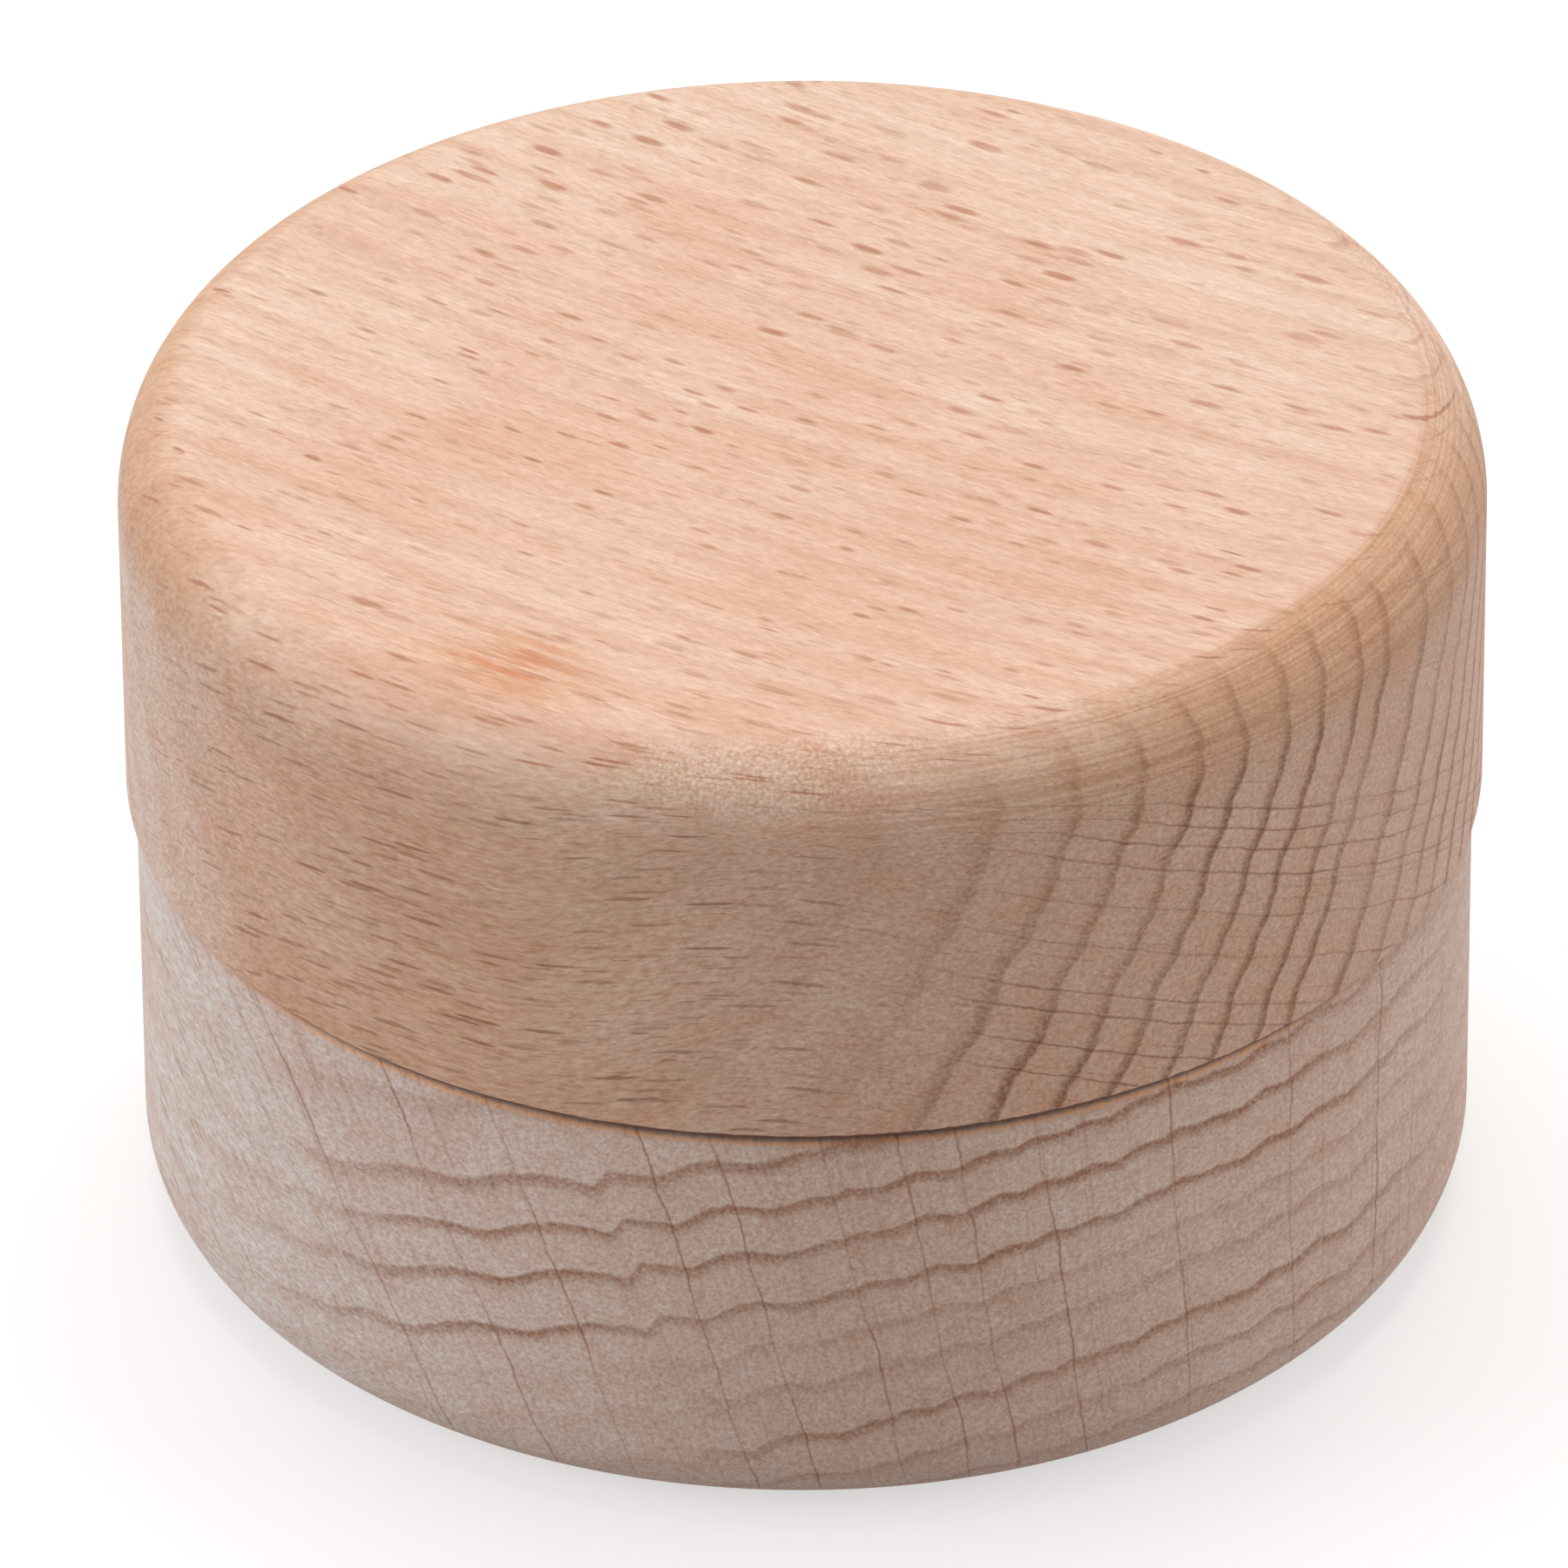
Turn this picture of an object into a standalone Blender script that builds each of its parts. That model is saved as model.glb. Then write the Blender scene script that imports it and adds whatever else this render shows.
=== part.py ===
"""A round jewelry jar turned from beech, with a velvet cushion inside.

The base has a spigot that stands up inside the lid, so the lid lifts straight off. Two half-round
pads of velvet over foam meet on the jar's centre line, and a ring stands in the slit between them.
A velvet-covered card lines the lid. Metres, +Z up, origin at the centre of the underside.
"""

import math

import bmesh
import bpy

# Outside of the jar
LID_RADIUS = 0.0280
LID_OVERHANG = 0.0004
LID_HEIGHT = 0.0177
LID_ROUNDOVER_WIDTH = 0.0031
LID_ROUNDOVER_DROP = 0.0044
SHOULDER_HEIGHT = 0.0187
FOOT_ROUNDOVER = 0.0036
SEAM_EDGE_ROUND = 0.0004

# Where the lid sits on the base
SEAT_GAP = 0.0003
SPIGOT_CLEARANCE = 0.0003
SPIGOT_HEIGHT = 0.0055
SPIGOT_WALL = 0.0029
SPIGOT_EDGE_ROUND = 0.0005
MOUTH_CHAMFER = 0.0006

# Hollows turned into the lid and the base
LID_WALL = 0.0046
LID_TOP_THICKNESS = 0.0045
RECESS_FILLET = 0.0010
BASE_FLOOR = 0.0040
BOWL_FILLET = 0.0010

# Cushion in the base and lining in the lid
LAYER_GAP = 0.0003
CUSHION_CARD = 0.0008
LINING_CARD = 0.0008
PAD_VELVET = 0.0008
LINING_VELVET = 0.0008
LINING_EDGE_ROUND = 0.0006
PAD_WALL_GAP = 0.0003
SLIT_WIDTH = 0.0003
PAD_EDGE_HEIGHT = 0.0092
PAD_CROWN = 0.0028

# How finely round shapes are divided
TURNING_STEPS = 72
ROUNDOVER_PIECES = 8
SMALL_ROUND_PIECES = 3
PAD_COLUMNS = 6
PAD_ROWS = 3
PAD_SMOOTHING_STEPS = 2
FOAM_SMOOTHING_STEPS = 2
MERGE_DISTANCE = 0.00001
SHARP_ANGLE = math.radians(30)

# Directions in a turned profile, in degrees from outwards, anticlockwise
OUT, UP, IN, DOWN = 0, 90, 180, -90

# Places that follow from the sizes above
BASE_RADIUS = LID_RADIUS - LID_OVERHANG
LID_SEAT = SHOULDER_HEIGHT + SEAT_GAP
RECESS_RADIUS = LID_RADIUS - LID_WALL
RECESS_DEPTH = LID_HEIGHT - LID_TOP_THICKNESS
SPIGOT_RADIUS = RECESS_RADIUS - SPIGOT_CLEARANCE
SPIGOT_TOP = SHOULDER_HEIGHT + SPIGOT_HEIGHT
BOWL_RADIUS = SPIGOT_RADIUS - SPIGOT_WALL
CUSHION_CARD_BOTTOM = BASE_FLOOR + LAYER_GAP
CUSHION_CARD_TOP = CUSHION_CARD_BOTTOM + CUSHION_CARD
PAD_BOTTOM = CUSHION_CARD_TOP + LAYER_GAP
PAD_RADIUS = BOWL_RADIUS - PAD_WALL_GAP
LINING_CARD_TOP = RECESS_DEPTH - LAYER_GAP
LINING_CARD_BOTTOM = LINING_CARD_TOP - LINING_CARD
LINING_RADIUS = RECESS_RADIUS - RECESS_FILLET

# Colour (linear red, green, blue) and roughness of each material
LID_BEECH = (0.78, 0.55, 0.42), 0.55
BASE_BEECH = (0.60, 0.47, 0.39), 0.60
IVORY_VELVET = (0.80, 0.72, 0.60), 0.90
CREAM_FOAM = (0.78, 0.70, 0.50), 0.95
GREY_CARD = (0.45, 0.42, 0.38), 0.85


def clear_scene():
    for obj in list(bpy.data.objects):
        bpy.data.objects.remove(obj)


def finish(name, look):
    """One material, plain in colour, for one piece."""
    colour, roughness = look
    material = bpy.data.materials.new(name)
    material.use_nodes = True
    shader = material.node_tree.nodes["Principled BSDF"]
    shader.inputs["Base Color"].default_value = (*colour, 1)
    shader.inputs["Roughness"].default_value = roughness
    shader.inputs["Metallic"].default_value = 0
    material.diffuse_color = (*colour, 1)
    return material


def add_piece(name, mesh, look, height=0, parent=None):
    """An object on the jar's centre line, with its own origin at this height."""
    piece = bpy.data.objects.new(name, mesh)
    piece.location.z = height
    piece.parent = parent
    bpy.data.collections["jewelry_jar"].objects.link(piece)
    mesh.materials.append(finish(name, look))
    return piece


def shade_round(piece):
    """Keeps the shape that the modifiers give, smooth but for its crisp edges."""
    bpy.context.view_layer.update()
    graph = bpy.context.evaluated_depsgraph_get()
    mesh = bpy.data.meshes.new_from_object(piece.evaluated_get(graph))
    piece.modifiers.clear()
    piece.data = mesh
    mesh.name = piece.name
    mesh.shade_smooth()
    mesh.set_sharp_from_angle(angle=SHARP_ANGLE)


def arc(centre, width, height, start, end, pieces):
    """Points of an elliptic quarter in a profile, from one direction to another."""
    points = []
    for step in range(pieces + 1):
        angle = math.radians(start + (end - start) * step / pieces)
        points.append((centre[0] + width * math.cos(angle), centre[1] + height * math.sin(angle)))
    return points


def small_round(centre, radius, start, end):
    return arc(centre, radius, radius, start, end, SMALL_ROUND_PIECES)


def turned(name, profile, look, height=0, parent=None):
    """A profile of (radius, height) points, down its outer side, turned about the centre line."""
    mesh = bpy.data.meshes.new(name)
    edges = [(point, point + 1) for point in range(len(profile) - 1)]
    mesh.from_pydata([(radius, 0, z) for radius, z in profile], edges, [])
    piece = add_piece(name, mesh, look, height, parent)
    turning = piece.modifiers.new("Turning", "SCREW")
    turning.steps = turning.render_steps = TURNING_STEPS
    turning.use_merge_vertices = True
    turning.merge_threshold = MERGE_DISTANCE
    shade_round(piece)
    return piece


def base_profile():
    """From the bowl's floor up to the spigot's rim, down to the shoulder and the rounded foot."""
    bowl_corner = (BOWL_RADIUS - BOWL_FILLET, BASE_FLOOR + BOWL_FILLET)
    rim_inside = (BOWL_RADIUS + SPIGOT_EDGE_ROUND, SPIGOT_TOP - SPIGOT_EDGE_ROUND)
    rim_outside = (SPIGOT_RADIUS - SPIGOT_EDGE_ROUND, SPIGOT_TOP - SPIGOT_EDGE_ROUND)
    shoulder_edge = (BASE_RADIUS - SEAM_EDGE_ROUND, SHOULDER_HEIGHT - SEAM_EDGE_ROUND)
    foot = (BASE_RADIUS - FOOT_ROUNDOVER, FOOT_ROUNDOVER)
    return [
        (0, BASE_FLOOR),
        *small_round(bowl_corner, BOWL_FILLET, DOWN, OUT),
        *small_round(rim_inside, SPIGOT_EDGE_ROUND, IN, UP),
        *small_round(rim_outside, SPIGOT_EDGE_ROUND, UP, OUT),
        (SPIGOT_RADIUS, SHOULDER_HEIGHT),
        *small_round(shoulder_edge, SEAM_EDGE_ROUND, UP, OUT),
        *arc(foot, FOOT_ROUNDOVER, FOOT_ROUNDOVER, OUT, DOWN, ROUNDOVER_PIECES),
        (0, 0),
    ]


def lid_profile():
    """From the middle of the top over the rounded edge, down to the seam and up into the recess.

    Heights are above the lid's lower edge.
    """
    top_edge = (LID_RADIUS - LID_ROUNDOVER_WIDTH, LID_HEIGHT - LID_ROUNDOVER_DROP)
    seam_edge = (LID_RADIUS - SEAM_EDGE_ROUND, SEAM_EDGE_ROUND)
    recess_corner = (RECESS_RADIUS - RECESS_FILLET, RECESS_DEPTH - RECESS_FILLET)
    return [
        (0, LID_HEIGHT),
        *arc(top_edge, LID_ROUNDOVER_WIDTH, LID_ROUNDOVER_DROP, UP, OUT, ROUNDOVER_PIECES),
        *small_round(seam_edge, SEAM_EDGE_ROUND, OUT, DOWN),
        (RECESS_RADIUS + MOUTH_CHAMFER, 0),
        (RECESS_RADIUS, MOUTH_CHAMFER),
        *small_round(recess_corner, RECESS_FILLET, OUT, UP),
        (0, RECESS_DEPTH),
    ]


def disc_profile(radius, thickness):
    return [(0, thickness), (radius, thickness), (radius, 0), (0, 0)]


def lining_velvet_profile():
    """Velvet drawn flat over the lining's card and turned up round its edge, open above."""
    card_radius = LINING_RADIUS - LINING_VELVET
    outer_height = LINING_CARD + LAYER_GAP + LINING_VELVET
    lower_edge = (LINING_RADIUS - LINING_EDGE_ROUND, LINING_EDGE_ROUND)
    return [
        (0, LINING_VELVET),
        (card_radius, LINING_VELVET),
        (card_radius, outer_height),
        (LINING_RADIUS, outer_height),
        *small_round(lower_edge, LINING_EDGE_ROUND, OUT, DOWN),
        (0, 0),
    ]


def half_pad_cage(inset, closed_below):
    """A coarse cage of half a round pad, in front of the slit, its bottom at height zero.

    A square grid is pressed into a half disc, then raised to a crowned top. Everything lies the
    inset inside the pad's outer face, except the bottom, which is cut flat where it is closed.
    """
    radius = PAD_RADIUS - inset
    slit_side = SLIT_WIDTH / 2 + inset
    depth_share = (radius - slit_side) / radius
    cage = bmesh.new()
    bmesh.ops.create_grid(cage, x_segments=PAD_COLUMNS, y_segments=PAD_ROWS, size=1)
    bottom = list(cage.faces)
    for vert in cage.verts:
        along, away = vert.co.x, (1 - vert.co.y) / 2
        vert.co.x = radius * along * math.sqrt(1 - away**2 / 2)
        vert.co.y = -slit_side - depth_share * radius * away * math.sqrt(1 - along**2 / 2)
    raised = bmesh.ops.extrude_face_region(cage, geom=bottom)["geom"]
    for vert in raised:
        if isinstance(vert, bmesh.types.BMVert):
            reach = vert.co.length / radius
            vert.co.z = PAD_EDGE_HEIGHT - inset + PAD_CROWN * max(1 - reach**2, 0)
    if closed_below:
        cut_edge = cage.edges.layers.float.new("crease_edge")
        for edge in cage.edges:
            edge[cut_edge] = sum(face in bottom for face in edge.link_faces) == 1
    else:
        bmesh.ops.delete(cage, geom=bottom, context="FACES_ONLY")
    bmesh.ops.recalc_face_normals(cage, faces=cage.faces)
    return cage


def half_pad(name, cage, smoothing, look, turn, skin=0):
    """One half of the cushion, smoothed from its cage, and hollowed to a skin where one is given."""
    mesh = bpy.data.meshes.new(name)
    cage.to_mesh(mesh)
    cage.free()
    piece = add_piece(name, mesh, look, PAD_BOTTOM)
    piece.rotation_euler.z = turn
    soft = piece.modifiers.new("Softness", "SUBSURF")
    soft.levels = soft.render_levels = smoothing
    if skin:
        cloth = piece.modifiers.new("Cloth thickness", "SOLIDIFY")
        cloth.thickness = skin
        cloth.offset = -1
        cloth.use_even_offset = True
    shade_round(piece)
    return piece


def make_shells():
    """The turned base, and the lid under an empty on the line that it lifts along."""
    lid_lift = bpy.data.objects.new("lid_lift", None)
    lid_lift.location.z = LID_SEAT
    bpy.data.collections["jewelry_jar"].objects.link(lid_lift)
    turned("base", base_profile(), BASE_BEECH)
    turned("lid", lid_profile(), LID_BEECH, parent=lid_lift)
    return lid_lift


def make_cushion():
    """A card on the bowl's floor, and on it the front and rear pads, each foam under velvet."""
    card = disc_profile(BOWL_RADIUS - BOWL_FILLET, CUSHION_CARD)
    turned("cushion_card", card, GREY_CARD, CUSHION_CARD_BOTTOM)
    for side, turn in (("front", 0), ("rear", math.pi)):
        foam = half_pad_cage(PAD_VELVET + LAYER_GAP, True)
        half_pad(f"{side}_foam", foam, FOAM_SMOOTHING_STEPS, CREAM_FOAM, turn)
        cover = half_pad_cage(0, False)
        half_pad(f"{side}_velvet", cover, PAD_SMOOTHING_STEPS, IVORY_VELVET, turn, PAD_VELVET)


def make_lining(lid_lift):
    """The velvet-covered card glued under the lid's top."""
    card_radius = LINING_RADIUS - LINING_VELVET - LAYER_GAP
    card = disc_profile(card_radius, LINING_CARD)
    turned("lining_card", card, GREY_CARD, LINING_CARD_BOTTOM, lid_lift)
    velvet_bottom = LINING_CARD_BOTTOM - LAYER_GAP - LINING_VELVET
    turned("lining_velvet", lining_velvet_profile(), IVORY_VELVET, velvet_bottom, lid_lift)


def main():
    clear_scene()
    collection = bpy.data.collections.new("jewelry_jar")
    bpy.context.scene.collection.children.link(collection)
    lid_lift = make_shells()
    make_cushion()
    make_lining(lid_lift)


main()
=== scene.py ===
"""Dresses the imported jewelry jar: turned beech shells, a velvet ring cushion and a velvet lid lining.

Metres, +Z up. The jar stands on the floor with the middle of its underside at the origin, and the
camera looks at it from the front, along +Y. Wood and cloth patterns are worked out in millimetres.
"""

import collections
import functools
import itertools
import math

import bmesh
import bpy
from mathutils import Matrix, Quaternion, Vector, noise


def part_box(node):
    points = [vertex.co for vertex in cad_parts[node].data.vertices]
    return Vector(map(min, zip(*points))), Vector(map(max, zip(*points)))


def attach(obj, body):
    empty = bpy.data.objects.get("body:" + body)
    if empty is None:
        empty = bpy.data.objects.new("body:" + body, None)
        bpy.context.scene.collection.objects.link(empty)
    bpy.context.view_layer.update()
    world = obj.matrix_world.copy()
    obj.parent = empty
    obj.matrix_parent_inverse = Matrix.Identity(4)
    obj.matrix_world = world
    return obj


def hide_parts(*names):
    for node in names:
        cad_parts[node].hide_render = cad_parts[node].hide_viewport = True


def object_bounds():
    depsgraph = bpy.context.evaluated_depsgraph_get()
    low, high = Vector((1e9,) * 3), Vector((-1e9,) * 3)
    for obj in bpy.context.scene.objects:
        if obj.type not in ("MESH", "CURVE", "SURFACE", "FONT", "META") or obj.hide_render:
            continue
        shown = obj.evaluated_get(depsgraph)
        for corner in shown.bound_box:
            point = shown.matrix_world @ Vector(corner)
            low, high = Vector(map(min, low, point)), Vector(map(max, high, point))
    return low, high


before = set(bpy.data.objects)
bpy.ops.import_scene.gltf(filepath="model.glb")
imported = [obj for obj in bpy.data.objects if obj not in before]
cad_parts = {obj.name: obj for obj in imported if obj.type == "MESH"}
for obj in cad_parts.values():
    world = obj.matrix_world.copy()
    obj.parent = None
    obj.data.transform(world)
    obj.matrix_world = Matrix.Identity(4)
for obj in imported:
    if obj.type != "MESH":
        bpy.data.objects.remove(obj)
cad_low, cad_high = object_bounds()

# Sizes of the two turned shells that the frame's boxes don't give
LID_ROUNDOVER_WIDTH = 0.0031
LID_ROUNDOVER_DROP = 0.0044
LID_TOP_THICKNESS = 0.0045
LID_WALL = 0.0046
RECESS_FILLET = 0.0010
MOUTH_CHAMFER = 0.0006
SEAM_EDGE_ROUND = 0.0004
FOOT_ROUNDOVER = 0.0036
SPIGOT_HEIGHT = 0.0055
SPIGOT_WALL = 0.0029
SPIGOT_CLEARANCE = 0.0003
SPIGOT_EDGE_ROUND = 0.0005
BASE_FLOOR = 0.0040
BOWL_FILLET = 0.0010

# How finely the shells are turned
LATHE_STEPS = 240
ROUNDOVER_PIECES = 24
SMALL_ROUND_PIECES = 6
OUT, UP, IN, DOWN = 0, 90, 180, -90
POINT_SIZE = 0.0001
WELD_DISTANCE = 0.000001
CRISP_ANGLE = math.radians(35)

# The ring cushion: each half is modelled this much larger, so that the cloth solver's forces suit it
BENCH_SCALE = 20
PAD_SIDES = 72
PAD_TOP_ROUND, PAD_TOP_PIECES = 0.0021, 5
PAD_CORNER_ROUND, PAD_CORNER_PIECES = 0.0016, 4
PAD_BOTTOM_ROUND, PAD_BOTTOM_PIECES = 0.0005, 2
PAD_WALL_CLEARANCE = 0.0003
PAD_SLIT_CLEARANCE = 0.00005
PAD_CROWN = 0.0026
PAD_CROWN_START = 0.6
CLOTH_VOXEL = 0.00065
CLOTH_FRAMES = 20
CLOTH_PRESSURE = 4
CLOTH_SWELL = 0.0007

# The lid's lining: velvet drawn over a card and turned up round its edge
LINING_THICKNESS = 0.0008
LINING_EDGE_ROUND = 0.0006
LINING_RIPPLE = 0.00006
LINING_RIPPLE_SIZE = 0.006
LINING_RINGS = 24

# The photograph's view
CAMERA_DISTANCE = 0.728
CAMERA_ELEVATION = math.radians(32.77)
CAMERA_ROLL = math.radians(0.38)
CAMERA_TARGET_HEIGHT = 0.0180
CAMERA_LENS = 404.2
CAMERA_SENSOR = 36
CAMERA_SHIFT = -0.0129

# Floor and lights
FLOOR_SIZE = 6
FLOOR_CLEARANCE = 0.00005
FLOOR_GREY = "BCBBBA"
FLOOR_LIFT = 0.60
WORLD_LIGHT = 0.34
WHITE = "FFFFFF"
LAMPS = {
    "top_softbox": dict(place=(0.00, 0.24, 0.90), size=0.60, watts=4.6, colour="FFFCF8"),
    "left_panel": dict(place=(-0.80, -0.10, 0.30), size=0.50, watts=2.4, colour="FBFCFF"),
    "right_panel": dict(place=(0.80, -0.05, 0.30), size=0.50, watts=1.2, colour="FFFAFB"),
}

MM_PER_METRE = 1000


def linear(hex_colour):
    """A colour written as sRGB hex, as the linear red, green, blue and alpha that sockets take."""
    shares = [int(hex_colour[place : place + 2], 16) / 255 for place in (0, 2, 4)]
    return [s / 12.92 if s <= 0.04045 else ((s + 0.055) / 1.055) ** 2.4 for s in shares] + [1]


def add_node(tree, kind, inputs=(), out=0, **settings):
    """Adds one shader node with its settings, sets or links its inputs, and gives back an output.

    Inputs that share a name go by number. A Mix has its share at 0, its two numbers at 2 and 3, and
    its two colours at 6 and 7. A Map Range turns a value at 0 from between the numbers at 1 and 2 to
    between those at 3 and 4. A low number that isn't given is 0, and a high one is 1.
    """
    node = tree.nodes.new("ShaderNode" + kind)
    for name, value in settings.items():
        setattr(node, name, value)
    for name, value in dict(inputs).items():
        if isinstance(value, bpy.types.NodeSocket):
            tree.links.new(value, node.inputs[name])
        else:
            node.inputs[name].default_value = value
    return node.outputs[out] if len(node.outputs) else node


# Settings that many nodes share
COLOURS = dict(data_type="RGBA", out=2)
SMOOTHLY = dict(interpolation_type="SMOOTHSTEP")


def new_material(name):
    """An empty material, and the function that adds nodes to it."""
    material = bpy.data.materials.new(name)
    material.use_nodes = True
    material.node_tree.nodes.clear()
    return material, functools.partial(add_node, material.node_tree)


def place_on_object(add):
    """A place on the object, in millimetres."""
    place = add("TexCoord", out="Object")
    return add("VectorMath", {0: place, "Scale": MM_PER_METRE}, operation="SCALE")


def weighted(add, value, *weights):
    """A value times each of its weights, which are other values put through a range."""
    for other, limits in weights:
        weight = add("MapRange", {0: other, **limits})
        value = add("Math", {0: value, 1: weight}, operation="MULTIPLY")
    return value


# Beech boards, in millimetres. In a board's own frame "along" runs with the fibre, "across" lies
# level at right angles to it, and "up" is the height. The growth rings are cylinders round the pith.
LID_BOARD = dict(
    turn=32,  # degrees from the world's X and Y to the board's along and across
    pith=(-372, 175),  # across and up
    bend_across=0.0037,
    bend_up=0.006,
    level_at=4,
    fan=0.0092,  # how much closer the rings lie for each millimetre of height
    middle_ring=391.1,
    middle_height=27,
    rings=(372.5, 374.9, 377.5, 380.0, 382.2, 384.2, 386.2, 388.0, 390.0, 391.8, 393.9, 395.6,
           398.6, 401.2, 403.4),
    ring_shares=(0, 0, 0.2, 0.5, 0.8, 0.95, 1, 1, 0.9, 1, 1, 1, 1, 0.9, 0.9),  # how bold each is
    notch_at=None,
    inner_rings=None,
    climb=3.6,  # how far the fibre climbs between these two places along the board
    climb_from=2,
    climb_to=17,
    full_rays=(764.7, 765.6, 766.5, 767.6, 769.5, 771.4, 773.4, 774.3, 775.8, 777.2),  # round the pith
    full_rays_show=(18.5, 21.5),
    short_rays=0.9,
    short_rays_on_end=0.28,
    waver=0.65,
    clear_end=(0.55, 0.74),  # how squarely an end cuts the fibre where its ring lines come up
    blurred_end=(0.70, 0.97),
    top_grain="F0CDB5",
    side_grain="DCB195",
    end_grain="E0BAA4",
    painted_left_sheen="E3C8B8",
    pale_from=-23,  # painted sheen: the sides turn paler and greyer from here to there along X, towards the left
    pale_to=-27.5,
    warm="DC9468",
    front_warmth={1: 20, 2: -24, 3: -0.04, 4: 0.13},  # the top is warmer in front, along Y
    smudge=dict(along=0.7, across=-23.2, length=5.5, width=3.8),
    rim_tan="CF9A6F",
    ring_stain="AE937E",
    ray_stain_on_side="B89F8D",
    ray_stain_on_end="BC9B8E",
    seam_shadow_and_highlight="582A12",  # painted shadow: the lid's lower edge is painted dark brown along the seam's gap
    edge_height=19.0,
    edge_reach=(0.22, 0.29),
    seed=2.0,
)
BASE_BOARD = dict(
    turn=80,
    pith=(19.1, -94.7),
    bend_across=0,
    bend_up=0,
    level_at=0,
    fan=0,
    middle_ring=108.5,
    middle_height=9,
    rings=(99.8, 101.9, 104.5, 106.5, 108.5, 111.0, 113.2, 115.4, 119.0),
    ring_shares=(0.5, 0.9, 0.35, 0.3, 1, 1, 0.95, 0.85, 0.4),
    notch_at=-30.68,  # round the pith
    inner_rings=(107.2, 107.8),  # rings nearer the pith than this stop at the notch
    climb=0,
    climb_from=0,
    climb_to=1,
    full_rays=(-40.2, -36.6, -33.3, -28.5, -25.9, -22.0, -19.2, -17.0, -13.8, -8.5, -3.1, 1.3),
    full_rays_show=(5, 11),
    short_rays=0.45,
    short_rays_on_end=0.25,
    waver=1,
    clear_end=(0.42, 0.80),
    blurred_end=(0.35, 0.65),
    top_grain="E4C8B8",
    side_grain="DCBFAE",
    end_grain="E5C8B8",
    painted_left_sheen="E5D5CD",
    pale_from=-6,
    pale_to=-22,
    warm="D8A184",
    front_warmth=None,
    smudge=None,
    rim_tan=None,
    ring_stain="C3A693",
    ray_stain_on_side="C4A999",
    ray_stain_on_end="C6A491",
    seam_shadow_and_highlight="FFC8A0",  # painted highlight: the base's upper edge is painted pale, where it would catch light
    edge_height=18.56,
    edge_reach=(0.05, 0.11),
    seed=7.0,
)

# Ranges are written with the numbers of a Map Range's sockets. A noise runs from 0 to 1.
NOISE_MIDDLE = 0.5

# How the surface cuts the fibre: how level it faces, and how squarely it meets the fibre
UPRIGHT = {1: 0.08, 2: 0.56, 3: 1, 4: 0}
END_GRAIN_ON_TOP = {1: 0.08, 2: 0.28}
END_GRAIN_ON_SIDES = {1: 0.15, 2: 0.55}
OTHER_END_GRAIN = {1: 0.15, 2: 0.60}
LONG_GRAIN = {1: 0.35, 2: 0.60, 3: 1, 4: 0}

# Growth rings. All waver together and each a little by itself, and they bulge between the broad rays.
RING_WAVER, RING_WAVER_LENGTH = 0.8, 4.5
OWN_WAVER, OWN_WAVER_LENGTH = 0.35, 3.2
RING_STEP, RING_STEP_LENGTH, STEP_MIDDLE = 0.45, 2.2, 0.25
NOTCH_DEPTH, NOTCH_HALF_WIDTH, NOTCH_RECOVERY = 0.45, 0.8, 4
LATE_LINE = {1: 0.74, 2: 0.99}  # of a year's growth
LATE_BAND = {1: 0.40, 2: 0.95}
NEXT_SPRING = {1: 0.005, 2: 0.09, 3: 1, 4: 0}
LINE_FADING, LINE_FADING_LENGTH = {1: 0.35, 2: 0.60, 3: 0.50, 4: 1}, 9
LINE_BREAKS = {1: 0.35, 2: 0.60, 3: 0.65, 4: 1.05}
STOPPED_LINE = 0.1
LINE_ON_LONG_GRAIN = 0.04
LINE_ON_RIM = 0.45

# Rays are thin plates. "spread" is how far apart they lie out from the pith, round it and along the
# fibre, and the size shares are the least and most of it that a plate's half size takes.
STRONG_RAYS = dict(spread=(42, 0.25, 3.0), size_shares=(0.18, 0.42), weakest=0.36)
FINE_RAYS = dict(spread=(12, 0.19, 2.4), size_shares=(0.16, 0.38), weakest=0.10)
FINE_RAY_STRENGTH = 0.50
RAY_CORE_SHARES = {3: 0.4, 4: 0.6}  # how much of a ray is fully dark, on the top and on the sides
SHORT_RAYS_END = {1: 0.45, 2: 0.70}
RAY_ROUGHNESS, RAY_ROUGHNESS_SIZE = 0.09, 0.45
RAY_STAIN_ON_TOP = "CDA58E"
RAY_STAIN_ON_END = {1: 0.3, 2: 0.8}
FULL_RAY_HALF_WIDTH = 0.09
FULL_RAY_SWAY, FULL_RAY_SWAY_LENGTH = 0.6, 5
FULL_RAY_FADING = {1: 0.38, 2: 0.58, 3: 0.9, 4: 0.45}

# The wood's figure. Real fibres, pores and mottle are finer, and are drawn coarse enough to show. A
# pattern is drawn out along the fibre by a shortening of its place.
FIBRE_WIDTH, FIBRE_SHORTENING = 0.30, 0.07
BAND_WIDTH = 1.6
CLOUD_SIZE = 11
MOTTLE_SIZE, MOTTLE_SHORTENING = 0.17, 0.25
PORE_SPREAD, PORE_RADIUS, PORE_SHORTENING = 0.34, 0.07, 0.10
PORE_RELIEF = -0.8

# Warmer places, and the tones that lighter and darker places multiply the colour by
WARM_CLOUDS = {1: 0.45, 2: 0.75, 4: 0.16}
WARM_BANDS = {1: 0.40, 2: 0.70, 4: 0.22}
SMUDGE_STREAKS = {1: 0.85, 2: 1.15, 3: 0.1, 4: 0.8}
SHADE_WARMTH = (0.60, 1.0, 1.30)  # a darker place is warmer: it loses less red than blue
MOTTLE_CONTRAST = {3: -0.85, 4: -1.50}  # on the top and on the sides
FIBRE_TONES = {1: 0.3, 2: 0.7, 3: 1.09, 4: 0.91}
PORE_TONES = {3: 1, 4: 0.82}
CLOUD_TONES = {1: 0.3, 2: 0.7, 3: 1.04, 4: 0.96}
LATE_TONES = {3: 1.02, 4: 0.95}
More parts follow.
